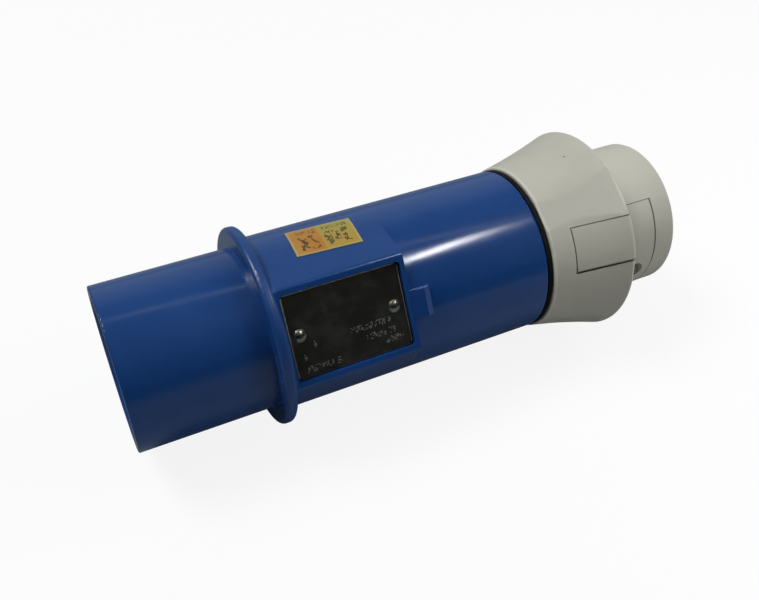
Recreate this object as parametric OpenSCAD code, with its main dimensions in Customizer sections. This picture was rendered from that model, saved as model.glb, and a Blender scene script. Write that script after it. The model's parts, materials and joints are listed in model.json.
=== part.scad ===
// Industrial pin and sleeve plug, 16 A, two poles and earth, with a flared
// union ring and a clamping cable cap. Millimetres, +Z up.
//
// The plug lies on its flange and on one facet of the union ring. Its axis is
// +X, and the origin is the centre of the sleeve's mouth. Every module is drawn
// standing on its mouth, with the axis along Z and the nameplate facing +X, and
// place() lays it down.

/* [Sleeve] */
// Outside diameter of the contact sleeve
sleeve_d = 44; // [42:0.5:46]
// Wall of the contact sleeve
sleeve_wall = 3; // [2:0.1:3.6]
// From the mouth to the flange
sleeve_len = 36.35; // [28:0.05:38]
// From the mouth to the face that carries the pins
contact_depth = 40; // [38.5:0.5:44]
// Width of the polarising rib under the sleeve
key_w = 8; // [5:0.5:10]
// Height of the polarising rib
key_h = 1.6; // [1:0.1:2]

/* [Body] */
// Height of the flange's rim above the body
flange_rise = 3.65; // [2.5:0.05:4.5]
// Thickness of the flange
flange_t = 3.35; // [2.8:0.05:5]
// Rounding of the flange's two edges
flange_round = 1.25; // [0.5:0.05:1.35]
// Hollow fillet between the flange and the body
flange_fillet = 0.9; // [0.4:0.1:1.4]
// Step from the contact sleeve out to the body
body_step = 1.55; // [1.35:0.05:1.75]
// Wall of the body
body_wall = 3.5; // [3:0.1:3.8]
// From the flange to the shoulder under the union ring
body_len = 75.8; // [70:0.2:82]
// Length of the threaded spigot behind the shoulder
spigot_len = 12.5; // [11:0.5:14]
// Step from the body in to the spigot
spigot_step = 0.65; // [0.55:0.05:0.85]

/* [Label pad] */
// Height of the pad's flat face above the round body
pad_rise = 0.35; // [0.25:0.05:1.05]
// Width of the flat face, across the plug
pad_w = 27; // [25.4:0.2:29]
// Length of the pad behind the flange
pad_len = 34.2; // [33:0.2:38]
// Rounding along the pad's two long corners
pad_round = 1.2; // [0.5:0.1:2]
// Length of the nameplate along the plug
plate_len = 31.5; // [27:0.1:31.8]
// Width of the nameplate across the plug
plate_w = 21.7; // [16:0.1:23]
// Thickness of the nameplate
plate_t = 0.8; // [0.4:0.1:1]
// Depth of the recess that holds the nameplate
recess_depth = 1.9; // [1.4:0.1:2.1]
// Spacing of the two rivets
rivet_pitch = 25.9; // [18:0.1:26]
// Diameter of a rivet's head
rivet_head_d = 3.5; // [2.6:0.1:4.2]
// Length of the inspection sticker along the plug
sticker_len = 17.6; // [12:0.2:22]
// Height of the inspection sticker round the plug
sticker_w = 11; // [8:0.2:12]
// Thickness of the inspection sticker
sticker_t = 0.2; // [0.1:0.05:0.3]
// Width of the catch lug behind the pad
lug_w = 7.4; // [5:0.1:9]
// Length of the catch lug
lug_len = 5.3; // [4:0.1:7]
// Height of the catch lug's crest above the pad's face
lug_rise = 1.7; // [0.8:0.1:2.2]

/* [Contacts] */
// Diameter of the line and neutral pins
pin_d = 5; // [4.4:0.1:5.4]
// Diameter of the earth pin
earth_pin_d = 6; // [5.6:0.1:6.6]
// Radius of the circle on which the pins stand
pin_circle_r = 9; // [8.5:0.1:9.6]
// Diameter of the carrier's and the terminals' screws
screw_d = 3.2; // [2.8:0.1:3.6]
// From the carrier's face to the tips of the pins
pin_len = 37; // [32:0.5:38]
// Thickness of the pin carrier behind its nose
carrier_t = 10; // [8:0.5:14]
// Thickness of the retainer plate behind the carrier
retainer_t = 4; // [3:0.5:6]
// Length of the wire terminals behind the retainer
terminal_len = 17; // [15:0.5:20]
// Diameter of the wire terminals
terminal_d = 7.6; // [7:0.1:8]
// Diameter of the wire bore in a terminal
wire_bore_d = 3.6; // [2.6:0.1:4.2]

/* [Union ring] */
// Height of the flared ring above the body, at the rim
ring_rise = 6.2; // [5.9:0.05:7]
// Arc that one of the ring's three facets takes up at the rim
facet_arc = 28; // [22:1:36]
// Arc that a facet takes up at the ring's front
facet_front_arc = 24; // [16:1:26]
// Length of the flared ring
ring_len = 23.2; // [22:0.1:25]
// Width of the lock tongue
tongue_w = 12.6; // [10:0.1:13]
// Height by which the lock tongue stands proud at the rim
tongue_proud = 0.35; // [0.2:0.05:0.8]
// Length of the lock tongue
tongue_len = 16.8; // [14:0.1:17.2]
// Stroke of the lock tongue when it is pressed in
tongue_stroke = 1; // [0.6:0.1:1.1]

/* [Cable cap] */
// Step from the spigot in to the cable cap
cap_step = 1.5; // [1.3:0.05:1.9]
// Wall of the cable cap
cap_wall = 2.8; // [2.4:0.1:3.2]
// From the shoulder under the union ring to the end of the cap
cap_end = 45.3; // [42:0.1:50]
// Diameter of the cable entry
entry_d = 17; // [12:0.5:18]
// Length of the clamp cover along the plug
cover_len = 12; // [10:0.2:13]
// Arc that the clamp cover spans
cover_arc = 120; // [90:1:140]
// Direction of the clamp cover's middle, from the nameplate round the axis
cover_turn = 41; // [36:1:46]
// Travel of the clamp shoe away from the cable
shoe_travel = 3; // [1:0.1:3.2]

/* [Clearances] */
// Radial clearance of parts that slide or turn
run_gap = 0.3; // [0.2:0.05:0.4]
// Clearance of parts that are fitted by hand
fit_gap = 0.15; // [0.1:0.05:0.25]

/* [Hidden] */
$fn = 96;
eps = 0.01;

// Radii
sleeve_r = sleeve_d / 2;
sleeve_ir = sleeve_r - sleeve_wall;
body_r = sleeve_r + body_step;
body_ir = body_r - body_wall;
flange_r = body_r + flange_rise;
pad_face = body_r + pad_rise;
spigot_r = body_r - spigot_step;
cap_r = spigot_r - cap_step;
cap_ir = cap_r - cap_wall;
ring_r = body_r + ring_rise;
ring_bore_r = spigot_r + run_gap;
ring_neck_r = cap_r + run_gap;

// Stations along the axis, from the mouth
flange_z = sleeve_len;
body_z = flange_z + flange_t;
shoulder_z = body_z + body_len;
spigot_z = shoulder_z + spigot_len;
pad_z = body_z + pad_len;
mouth_round = 0.45;
lip_t = 2.5;
lip_ir = sleeve_ir - 1.5;
lip_z = contact_depth + lip_t;
seal_t = 1;
carrier_z = lip_z + seal_t;
retainer_z = carrier_z + carrier_t;
terminal_z = retainer_z + retainer_t;
terminal_end = terminal_z + terminal_len;

// Contacts: each pin's direction from the nameplate, round the axis
line_turn = -60;
neutral_turn = 60;
earth_turn = 180;
pin_seat = 0.5;
collar_r = 5;
collar_t = 2.5;
wire_bore_len = 13;
rear_screw_inset = 3.6;
front_screw_inset = 10;
terminal_screw_stations = [terminal_end - front_screw_inset,
                           terminal_end - rear_screw_inset];
thread_gap = 0.1;
screw_r = screw_d / 2;
screw_head_r = screw_r + 1.1;
screw_head_h = 1.8;
screw_slot = 0.8;
locking_ring_w = 3.2;
retainer_r = body_ir - locking_ring_w - 0.5;
retainer_screw_circle = retainer_r - screw_head_r - 1.65;
retainer_screw_len = 6;
retainer_screw_end = 0.4;
retainer_wall = 1.6;

// Nameplate
plate_mid_z = body_z + pad_len / 2 - 0.3;
sticker_mid_z = body_z + pad_len * 0.547;
sticker_skew = 3.5;
recess_gap = 0.4;
plate_round = 1;
recess_face = pad_face - recess_depth;
plate_face = recess_face + plate_t;
rivet_r = 1;
rivet_len = 1;
rivet_dome_h = 0.75;

// Catch lug
lug_shift = 0.7;
lug_crest = 0.62;

// Union ring
body_round = 0.8;
gasket_t = 1.2;
ring_z = shoulder_z + gasket_t + run_gap;
ring_end = ring_z + ring_len;
ring_front_r = body_r + 0.6;
flare_sag = 0.35;
lip_round = 0.45;
rim_round = 1.3;
facet_turns = [-27, 120, 190];
facet_reach = 0.8 * ring_r;
washer_t = 1.5;
neck_t = 4;
dish_wall = 3.2;
dish_lean = 2.2;
tooth_len = 2.4;
tooth_w = 4;
tongue_z = ring_end - tongue_len;
tongue_in = spigot_r + run_gap + tongue_stroke;
tongue_play = 0.35;
tooth_z = tongue_z + 1.6;
notch_floor = spigot_r - 0.9;

// Cable cap
cap_flange_t = 3;
cap_flange_r = spigot_r - 0.1;
cap_z = spigot_z;
cap_spigot_len = 5;
cap_end_z = shoulder_z + cap_end;
washer_z = cap_z + cap_flange_t + run_gap;
neck_z = washer_z + washer_t + run_gap;
cap_end_wall = 6;
cap_round = 0.6;
partition_z = cap_z + 9;
partition_t = 2.5;
seal_len = 8;
seal_washer_t = 1.5;
pressure_len = 4;
pressure_groove_w = 3;
pressure_groove_t = 1.6;
cover_z = cap_end_z - 6.8 - cover_len;
cover_mid_z = cover_z + cover_len / 2;
cover_t = 1.4;
ledge_w = 1.8;
ledge_arc = 6;
clamp_screw_r = 1.7;
clamp_head_r = 2.9;
clamp_head_h = 2.2;
recess_floor = cap_r - clamp_head_h - shoe_travel - 0.2;
nut_w = 5.5;
nut_t = 2;
nut_face = recess_floor - 0.8;
boss_len = cover_len - 2 * ledge_w - 2 * run_gap;
boss_w = 10;
shoe_t = 3;
shoe_back = nut_face - nut_t - shoe_travel - run_gap;
shoe_face = shoe_back - shoe_t;
shoe_len = boss_len - 0.5;
shoe_w = 10;
saddle_r = entry_d / 2 + 1.2;

// Lays the upright drawing down: the axis becomes +X and the nameplate faces
// the front, 30 degrees above the horizontal.
module place() {
    rotate([-120, 0, 0]) rotate([0, 90, 0]) children();
}

// Draws its children with their +X turned round the axis.
module turned(angle) {
    rotate([0, 0, angle]) children();
}

// Draws its children with their own +Z pointing out from the axis, along the
// direction of the nameplate, at height z.
module outward(z) {
    translate([0, 0, z]) rotate([0, 90, 0]) children();
}

module tube(r_out, r_in, z, len) {
    translate([0, 0, z]) difference() {
        cylinder(r = r_out, h = len);
        translate([0, 0, -1]) cylinder(r = r_in, h = len + 2);
    }
}

// Half section of a disc from the axis, with both outer corners rounded.
module disc_section(r, z0, z1, round) {
    translate([0, z0]) square([r - round, z1 - z0]);
    translate([0, z0 + round]) square([r, z1 - z0 - 2 * round]);
    for (z = [z0 + round, z1 - round])
        translate([r - round, z]) circle(r = round, $fn = 32);
}

// A flat rectangle with rounded corners, centred.
module rounded_sheet(length, width, round) {
    square([length - 2 * round, width], center = true);
    square([length, width - 2 * round], center = true);
    for (x = [-1, 1], y = [-1, 1])
        translate([x * (length / 2 - round), y * (width / 2 - round)])
            circle(r = round, $fn = 32);
}

// Cross-section of the body where it carries the pad: the round body, a flat
// face, and a straight flank from each rounded corner tangent to the round.
// skin grows the whole outline outwards.
module pad_section(skin = 0) {
    corner = [pad_face - pad_round, pad_w / 2 - pad_round];
    spread = atan2(corner[1], corner[0]);
    lean = spread + acos((body_r - pad_round) / norm(corner));
    flank = [cos(lean), sin(lean)];
    mirrored = [1, -1];
    circle(r = body_r + skin);
    polygon([
        for (side = mirrored) each (side > 0
            ? [[pad_face + skin, corner[1]],
               corner + flank * (pad_round + skin),
               flank * (body_r + skin)]
            : [[cos(lean), -sin(lean)] * (body_r + skin),
               [corner[0] + flank[0] * (pad_round + skin),
                -corner[1] - flank[1] * (pad_round + skin)],
               [pad_face + skin, -corner[1]]])]);
    for (side = mirrored)
        translate([corner[0], side * corner[1]])
            circle(r = pad_round + skin, $fn = 48);
}

// Angle at which the pad's flank meets the round body.
function flank_turn() =
    atan2(pad_w / 2 - pad_round, pad_face - pad_round)
    + acos((body_r - pad_round)
        / norm([pad_face - pad_round, pad_w / 2 - pad_round]));

// The catch lug: a ramp that rises from the pad's face to a crest and falls
// steeply behind it.
module catch_lug() {
    translate([0, lug_shift + lug_w / 2, 0]) rotate([90, 0, 0])
        linear_extrude(lug_w) polygon([
            [body_r - 2, pad_z - 1.5],
            [pad_face, pad_z - 1.5],
            [pad_face, pad_z - 0.6],
            [pad_face + lug_rise, pad_z + lug_len * lug_crest],
            [pad_face + lug_rise * 0.45, pad_z + lug_len - 0.5],
            [pad_face + lug_rise * 0.2, pad_z + lug_len],
            [body_r - 2, pad_z + lug_len]]);
}

module flange_fillet_section() {
    difference() {
        translate([body_r - 1, body_z - 1]) square(flange_fillet + 1);
        translate([body_r + flange_fillet, body_z + flange_fillet])
            circle(r = flange_fillet, $fn = 48);
    }
}

module housing() {
    color("royalblue") place() difference() {
        union() {
            rotate_extrude() {
                disc_section(sleeve_r, 0, flange_z + 2, mouth_round);
                disc_section(flange_r, flange_z, body_z, flange_round);
                disc_section(body_r, flange_z, shoulder_z, body_round);
                flange_fillet_section();
                disc_section(spigot_r, shoulder_z - 1, spigot_z, 0.5);
            }
            translate([0, 0, body_z - 2]) linear_extrude(pad_len + 2)
                pad_section();
            catch_lug();
            turned(180) translate([sleeve_r - 1, -key_w / 2, 1])
                cube([key_h + 1, key_w, flange_z]);
        }
        // Contact space, lip and inner bore
        translate([0, 0, -1]) cylinder(r = sleeve_ir, h = contact_depth + 1);
        translate([0, 0, -eps])
            cylinder(r1 = sleeve_ir + 0.8, r2 = sleeve_ir, h = 0.8);
        cylinder(r = lip_ir, h = lip_z + 1);
        translate([0, 0, lip_z]) cylinder(r = body_ir, h = spigot_z);
        // Recess and blind holes of the nameplate
        outward(plate_mid_z) translate([0, 0, recess_face])
            linear_extrude(recess_depth + 1)
                rounded_sheet(plate_len + 2 * recess_gap,
                              plate_w + 2 * recess_gap, plate_round);
        for (side = [-1, 1])
            outward(plate_mid_z + side * rivet_pitch / 2)
                translate([0, 0, recess_face - rivet_len - thread_gap])
                    cylinder(r = rivet_r + thread_gap, h = 3, $fn = 32);
        // Notch for the lock tongue's tooth
        outward(tooth_z + tooth_len / 2) translate([0, 0, notch_floor])
            linear_extrude(3)
                square([tooth_len + 1.2, tooth_w + 1.2], center = true);
    }
}

module nameplate() {
    color("dimgray") place() outward(plate_mid_z)
        translate([0, 0, recess_face]) linear_extrude(plate_t) difference() {
            rounded_sheet(plate_len, plate_w, plate_round);
            for (side = [-1, 1])
                translate([side * rivet_pitch / 2, 0])
                    circle(r = rivet_r + thread_gap, $fn = 32);
        }
}

// A drive rivet: a domed head on a plain shank.
module rivet() {
    dome_r = (pow(rivet_head_d / 2, 2) + pow(rivet_dome_h, 2))
        / (2 * rivet_dome_h);
    translate([0, 0, recess_face - rivet_len])
        cylinder(r = rivet_r, h = rivet_len + plate_t + rivet_dome_h / 2,
                 $fn = 32);
    translate([0, 0, plate_face]) rotate_extrude($fn = 48)
        intersection() {
            translate([0, rivet_dome_h - dome_r]) circle(r = dome_r);
            square([rivet_head_d, rivet_dome_h * 2]);
        }
}

module nameplate_rivets() {
    color("silver") place() for (side = [-1, 1])
        outward(plate_mid_z + side * rivet_pitch / 2) rivet();
}

// A film laid on the pad's upper flank and on round over the body.
module inspection_sticker() {
    color("orange") place() intersection() {
        translate([0, 0, body_z + 1]) linear_extrude(pad_len - 2)
            difference() {
                pad_section(sticker_t);
                pad_section();
            }
        turned(-flank_turn() - 1) outward(sticker_mid_z)
            rotate([0, 0, -sticker_skew])
                translate([-sticker_len / 2, -sticker_w / 2, body_r / 2])
                    cube([sticker_len, sticker_w, body_r]);
    }
}

module pin_carrier() {
    color("darkslategray") place() difference() {
        union() {
            translate([0, 0, contact_depth])
                cylinder(r = lip_ir - run_gap, h = lip_t + seal_t + 1);
            translate([0, 0, carrier_z])
                cylinder(r = body_ir - run_gap, h = carrier_t);
        }
        for (turn = [line_turn, neutral_turn])
            turned(turn) carrier_bore(pin_d / 2);
        turned(earth_turn) carrier_bore(earth_pin_d / 2);
        for (k = [0:2]) turned(120 * k)
            translate([retainer_screw_circle, 0,
                       retainer_z - retainer_screw_len])
                cylinder(r = screw_r + thread_gap, h = carrier_t, $fn = 32);
    }
}

// A pin's hole through the carrier, with the seat of its collar at the back.
module carrier_bore(r) {
    translate([pin_circle_r, 0, contact_depth - 1]) {
        cylinder(r = r + pin_seat + fit_gap, h = carrier_t + lip_t + 5);
        translate([0, 0, retainer_z - collar_t - contact_depth + 1])
            cylinder(r = collar_r + fit_gap, h = collar_t + 1);
    }
}

// A contact pin: a rounded tip, a plain shank, a thicker seat in the carrier,
// a collar, and a wire terminal with a wire bore and two screw holes.
module contact_pin(r) {
    tip_round = r * 0.7;
    tip_z = contact_depth - pin_len;
    difference() {
        translate([pin_circle_r, 0, 0]) rotate_extrude($fn = 64) {
            translate([0, tip_z]) square([r - tip_round, 2 * tip_round]);
            translate([0, tip_z + tip_round])
                square([r, retainer_z - tip_z - tip_round]);
            translate([r - tip_round, tip_z + tip_round])
                intersection() {
                    circle(r = tip_round);
                    translate([0, -tip_round]) square(tip_round);
                }
            translate([0, contact_depth])
                square([r + pin_seat, retainer_z - contact_depth]);
            translate([0, retainer_z - collar_t]) square([collar_r, collar_t]);
            translate([0, retainer_z - 1])
                square([terminal_d / 2, terminal_end - retainer_z + 1]);
        }
        translate([pin_circle_r, 0, terminal_end - wire_bore_len])
            cylinder(r = wire_bore_d / 2, h = wire_bore_len + 1, $fn = 48);
        for (z = terminal_screw_stations)
            outward(z) translate([0, 0, pin_circle_r])
                cylinder(r = screw_r + thread_gap, h = terminal_d, $fn = 32);
    }
}

module line_pin() {
    color("gold") place() turned(line_turn) contact_pin(pin_d / 2);
}

module neutral_pin() {
    color("gold") place() turned(neutral_turn) contact_pin(pin_d / 2);
}

module earth_pin() {
    color("gold") place() turned(earth_turn) contact_pin(earth_pin_d / 2);
}

// Holds the pins' collars down, and parts the terminals with three walls.
module pin_retainer() {
    color("whitesmoke") place() difference() {
        union() {
            translate([0, 0, retainer_z])
                cylinder(r = retainer_r, h = retainer_t);
            for (k = [0:2]) turned(120 * k)
                translate([0, -retainer_wall / 2, terminal_z - 1])
                    cube([retainer_screw_circle - screw_head_r - 1,
                          retainer_wall, terminal_len + 1]);
        }
        for (turn = [line_turn, neutral_turn, earth_turn])
            turned(turn) translate([pin_circle_r, 0, retainer_z - 1])
                cylinder(r = terminal_d / 2 + fit_gap, h = retainer_t + 2);
        for (k = [0:2]) turned(120 * k)
            translate([retainer_screw_circle, 0, retainer_z - 1])
                cylinder(r = screw_r + thread_gap, h = retainer_t + 2,
                         $fn = 32);
    }
}

// A cheese-head screw with its tip at z = 0, pointing down.
module slotted_screw(r, len, head_r, head_h, slot_w) {
    difference() {
        union() {
            cylinder(r = r, h = len + head_h / 2, $fn = 32);
            translate([0, 0, len]) cylinder(r = head_r, h = head_h, $fn = 48);
        }
        translate([-2 * head_r, -slot_w / 2, len + head_h / 2])
            cube([4 * head_r, slot_w, head_h]);
    }
}

module retainer_screws() {
    color("silver") place() for (k = [0:2]) turned(120 * k)
        translate([retainer_screw_circle, 0,
                   retainer_z - retainer_screw_len + retainer_screw_end])
            slotted_screw(screw_r,
                          retainer_screw_len - retainer_screw_end + retainer_t,
                          screw_head_r, screw_head_h, screw_slot);
}

module terminal_screws() {
    seat = pin_circle_r + terminal_d / 2;
    tip = pin_circle_r + terminal_d * 0.08;
    color("silver") place()
        for (turn = [line_turn, neutral_turn, earth_turn],
             z = terminal_screw_stations)
            turned(turn) outward(z) translate([0, 0, tip])
                slotted_screw(screw_r, seat - tip + thread_gap, screw_head_r,
                              screw_head_h, screw_slot);
}

module carrier_seal() {
    color("black") place()
        tube(body_ir - run_gap, lip_ir, lip_z, seal_t);
}

// The ring that screws in behind the carrier and holds it on its seat.
module locking_ring() {
    color("dimgray") place() difference() {
        tube(body_ir - fit_gap, body_ir - locking_ring_w, retainer_z,
             retainer_t);
        for (k = [0:3]) turned(45 + 90 * k)
            translate([body_ir - locking_ring_w - 1, -1.5, terminal_z - 1.5])
                cube([locking_ring_w + 2, 3, 3]);
    }
}

module body_gasket() {
    color("black") place()
        tube(body_r, spigot_r + fit_gap, shoulder_z, gasket_t);
}

// Half section of a hollow flare over the ring's length, from the axis out,
// with a rounded lip in front and a rounded rim.
module flare_section(front_r, rim_r, sag) {
    front = [front_r, ring_z + lip_round];
    rim = [rim_r, ring_end - rim_round];
    chord = rim - front;
    sag_r = (pow(norm(chord) / 2, 2) + sag * sag) / (2 * sag);
    across = [-chord[1], chord[0]] / norm(chord);
    difference() {
        union() {
            polygon([[0, ring_z], [front_r - lip_round, ring_z], front, rim,
                     [rim_r - rim_round, ring_end], [0, ring_end]]);
            translate([front_r - lip_round, ring_z + lip_round])
                circle(r = lip_round, $fn = 32);
            translate([rim_r - rim_round, ring_end - rim_round])
                circle(r = rim_round, $fn = 48);
        }
        translate((front + rim) / 2 - across * (sag_r - sag))
            circle(r = sag_r, $fn = 720);
    }
}

// Outside of the union ring: a round flare with three facets. lift leans it
// out towards the rim.
module ring_outside(lift = 0) {
    rim_r = ring_r + lift;
    difference() {
        rotate_extrude($fn = 144)
            flare_section(ring_front_r, rim_r, flare_sag);
        facet_cutter(facet_turns[0], rim_r);
        facet_cutter(facet_turns[1], rim_r);
        facet_cutter(facet_turns[2], rim_r);
    }
}

// What is cut away over one facet, outside a plane that leans with the flare.
module facet_cutter(turn, rim_r) {
    foot = ring_front_r * cos(facet_front_arc / 2);
    head = rim_r * cos(facet_arc / 2);
    slope = (head - foot) / (ring_len - rim_round);
    turned(turn) rotate([90, 0, 0])
        linear_extrude(facet_reach, center = true) polygon([
            [foot - slope, ring_z - 1],
            [2 * ring_r, ring_z - 1],
            [2 * ring_r, ring_end + 1],
            [foot + slope * (ring_len + 1), ring_end + 1]]);
}

// The opening that the lock tongue lies in, with room for its stroke.
module tongue_slot() {
    difference() {
        translate([0, -tongue_w / 2 - fit_gap, tongue_z - fit_gap])
            cube([2 * ring_r, tongue_w + 2 * fit_gap + tongue_play, ring_len]);
        translate([0, 0, ring_z])
            cylinder(r = tongue_in - tongue_stroke - fit_gap, h = 2 * ring_len);
    }
}

// The dish behind the ring's neck. gap widens it.
module ring_dish(gap = 0) {
    z = neck_z + neck_t;
    translate([0, 0, z])
        cylinder(r1 = ring_r - dish_wall - dish_lean + gap,
                 r2 = ring_r - dish_wall + gap, h = ring_end - z + eps);
}

module union_ring() {
    color("lightgray") place() difference() {
        ring_outside();
        translate([0, 0, ring_z - 1])
            cylinder(r = ring_bore_r, h = neck_z - ring_z + 1);
        translate([0, 0, neck_z - 1]) cylinder(r = ring_neck_r, h = neck_t + 2);
        ring_dish();
        tongue_slot();
    }
}

// The lock tongue: it fills the ring's slot, stands proud at the rim, and its
// tooth drops into the spigot's notch when it is pressed in.
module lock_tongue() {
    color("lightgray") place() {
        difference() {
            intersection() {
                ring_outside(tongue_proud);
                translate([0, -tongue_w / 2, tongue_z])
                    cube([2 * ring_r, tongue_w, ring_len]);
            }
            cylinder(r = tongue_in, h = cap_end_z);
            ring_dish(fit_gap);
        }
        outward(tooth_z + tooth_len / 2)
            translate([0, 0, spigot_r + run_gap])
                linear_extrude(tongue_stroke + 0.5)
                    square([tooth_len, tooth_w], center = true);
    }
}

module slip_washer() {
    color("ivory") place()
        tube(ring_bore_r - run_gap, cap_r + run_gap, washer_z, washer_t);
}

// A box-like sector of a ring round the axis, opening towards +X.
module sector(r_in, r_out, z, len, arc) {
    translate([0, 0, z]) rotate([0, 0, -arc / 2])
        rotate_extrude(angle = arc, $fn = 144)
            translate([r_in, 0]) square([r_out - r_in, len]);
}

module cable_cap() {
    color("lightgray") place() difference() {
        rotate_extrude() {
            disc_section(cap_r, cap_z + 1, cap_end_z, cap_round);
            disc_section(cap_flange_r, cap_z, cap_z + cap_flange_t, 0.3);
            translate([0, cap_z - cap_spigot_len])
                square([body_ir - run_gap, cap_spigot_len + 1]);
        }
        // Seal chamber in front of the partition
        translate([0, 0, cap_z - cap_spigot_len - 1])
            cylinder(r = cap_ir - 2, h = partition_z - cap_z
                     + cap_spigot_len + 1);
        // Clamp chamber behind it, with a saddle left opposite the shoe
        difference() {
            translate([0, 0, partition_z + partition_t])
                cylinder(r = cap_ir, h = cap_end_z - cap_end_wall
                         - partition_z - partition_t);
            turned(180 + cover_turn)
                translate([saddle_r - 2, -shoe_w / 2, cover_mid_z - shoe_len / 2])
                    cube([cap_r, shoe_w, shoe_len]);
        }
        // Cable way, wider through the partition, with a rounded mouth
        cylinder(r = entry_d / 2, h = cap_end_z + 1);
        cylinder(r = entry_d / 2 + 0.5, h = partition_z + partition_t + 1);
        translate([0, 0, cap_end_z]) entry_flare();
        translate([0, 0, cover_mid_z]) cylinder(r = saddle_r,
            h = shoe_len + 1, center = true);
        // Window of the clamp cover, on a ledge
        turned(cover_turn) {
            sector(cap_r - cover_t, cap_r + 2, cover_z, cover_len, cover_arc);
            sector(cap_ir - 2, cap_r, cover_z + ledge_w,
                   cover_len - 2 * ledge_w,
                   cover_arc - 2 * ledge_arc);
        }
    }
}

// The bell that opens the cable entry out to the rear face.
module entry_flare() {
    round = 2;
    rotate_extrude() difference() {
        translate([0, -round]) square([entry_d / 2 + round, round + 1]);
        translate([entry_d / 2 + round, -round]) circle(r = round, $fn = 48);
    }
}

module cable_seal() {
    seal_r = cap_ir - 2 - run_gap;
    color("black") place() difference() {
        translate([0, 0, partition_z - seal_len])
            cylinder(r = seal_r, h = seal_len);
        translate([0, 0, partition_z - seal_len - 1])
            cylinder(r = entry_d / 2 - 1, h = seal_len + 2);
        // Grooves that let the rubber close on the cable
        for (z = [2.2, 5.2])
            translate([0, 0, partition_z - seal_len + z])
                tube(entry_d / 2 + 1.4, entry_d / 2 - 2, 0, 1);
    }
}

module seal_washer() {
    color("silver") place()
        tube(cap_ir - 2 - run_gap, entry_d / 2,
             partition_z - seal_len - seal_washer_t, seal_washer_t);
}

module pressure_ring() {
    z = partition_z - seal_len - seal_washer_t - pressure_len;
    color("gray") place() difference() {
        tube(cap_ir - 2 - fit_gap, entry_d / 2 + 0.5, z, pressure_len);
        for (k = [0:3]) turned(90 * k)
            translate([entry_d / 2, -pressure_groove_w / 2, z - 1])
                cube([cap_ir, pressure_groove_w, pressure_groove_t + 1]);
    }
}

// The curved cover that closes the cap's window. Its boss passes through the
// window, with a deep recess for the screw outside and the nut's seat inside.
module clamp_cover() {
    boss_in = nut_face - nut_t;
    color("lightgray") place() turned(cover_turn) difference() {
        union() {
            sector(cap_r - cover_t, cap_r, cover_z + fit_gap,
                   cover_len - 2 * fit_gap, cover_arc - 1);
            intersection() {
                translate([boss_in, -boss_w / 2, cover_mid_z - boss_len / 2])
                    cube([cap_r, boss_w, boss_len]);
                cylinder(r = cap_r - cover_t / 2, h = cap_end_z);
            }
        }
        outward(cover_mid_z) {
            cylinder(r = clamp_screw_r + fit_gap, h = cap_r + 1, $fn = 48);
            translate([0, 0, recess_floor])
                cylinder(r = clamp_head_r + run_gap, h = cap_r, $fn = 48);
            translate([0, 0, boss_in - 1]) linear_extrude(nut_t + 1)
                square(nut_w + 2 * fit_gap, center = true);
        }
    }
}

// Screwed down, its head rests on the recess's floor and its tip on the shoe.
module clamp_screw() {
    color("silver") place() turned(cover_turn) outward(cover_mid_z)
        translate([0, 0, shoe_back])
            slotted_screw(clamp_screw_r, recess_floor - shoe_back,
                          clamp_head_r, clamp_head_h, 1);
}

module clamp_nut() {
    color("gold") place() turned(cover_turn) outward(cover_mid_z)
        translate([0, 0, nut_face - nut_t]) linear_extrude(nut_t)
            difference() {
                square(nut_w, center = true);
                circle(r = clamp_screw_r + fit_gap, $fn = 48);
            }
}

module clamp_shoe() {
    color("gray") place() turned(cover_turn) difference() {
        translate([shoe_face - 2, -shoe_w / 2, cover_mid_z - shoe_len / 2])
            cube([shoe_back - shoe_face + 2, shoe_w, shoe_len]);
        translate([shoe_face - saddle_r, 0, cover_mid_z])
            cylinder(r = saddle_r, h = shoe_len + 1, center = true);
    }
}

housing();
nameplate();
nameplate_rivets();
inspection_sticker();
pin_carrier();
line_pin();
neutral_pin();
earth_pin();
pin_retainer();
retainer_screws();
terminal_screws();
carrier_seal();
locking_ring();
body_gasket();
union_ring();
lock_tongue();
slip_washer();
cable_cap();
cable_seal();
seal_washer();
pressure_ring();
clamp_cover();
clamp_screw();
clamp_nut();
clamp_shoe();
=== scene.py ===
"""Looks of an industrial pin and sleeve plug: mouldings, nameplate, sticker and metal parts."""

import json
import math

import bpy
import numpy as np
from mathutils import Matrix, Vector


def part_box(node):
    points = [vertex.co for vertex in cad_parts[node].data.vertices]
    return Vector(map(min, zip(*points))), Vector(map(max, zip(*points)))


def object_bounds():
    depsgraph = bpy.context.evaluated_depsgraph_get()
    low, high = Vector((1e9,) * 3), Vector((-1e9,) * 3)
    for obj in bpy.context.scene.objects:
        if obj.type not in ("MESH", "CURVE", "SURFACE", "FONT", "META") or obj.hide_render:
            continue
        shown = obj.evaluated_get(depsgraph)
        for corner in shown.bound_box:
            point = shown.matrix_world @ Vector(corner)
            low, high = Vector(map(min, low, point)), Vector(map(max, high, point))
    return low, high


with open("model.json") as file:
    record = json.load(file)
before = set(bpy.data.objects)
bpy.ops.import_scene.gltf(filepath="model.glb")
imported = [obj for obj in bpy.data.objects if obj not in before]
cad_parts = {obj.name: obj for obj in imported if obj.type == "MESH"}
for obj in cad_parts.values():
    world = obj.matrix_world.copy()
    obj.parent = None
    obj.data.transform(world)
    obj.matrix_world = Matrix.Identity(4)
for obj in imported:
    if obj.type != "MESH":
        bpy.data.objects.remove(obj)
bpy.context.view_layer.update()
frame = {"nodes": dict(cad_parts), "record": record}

# All lengths are in metres. The plug's axis runs along x through this point.
ON_AXIS = (0.0, 0.0, 0.0)
ALONG = (1.0, 0.0, 0.0)

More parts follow.
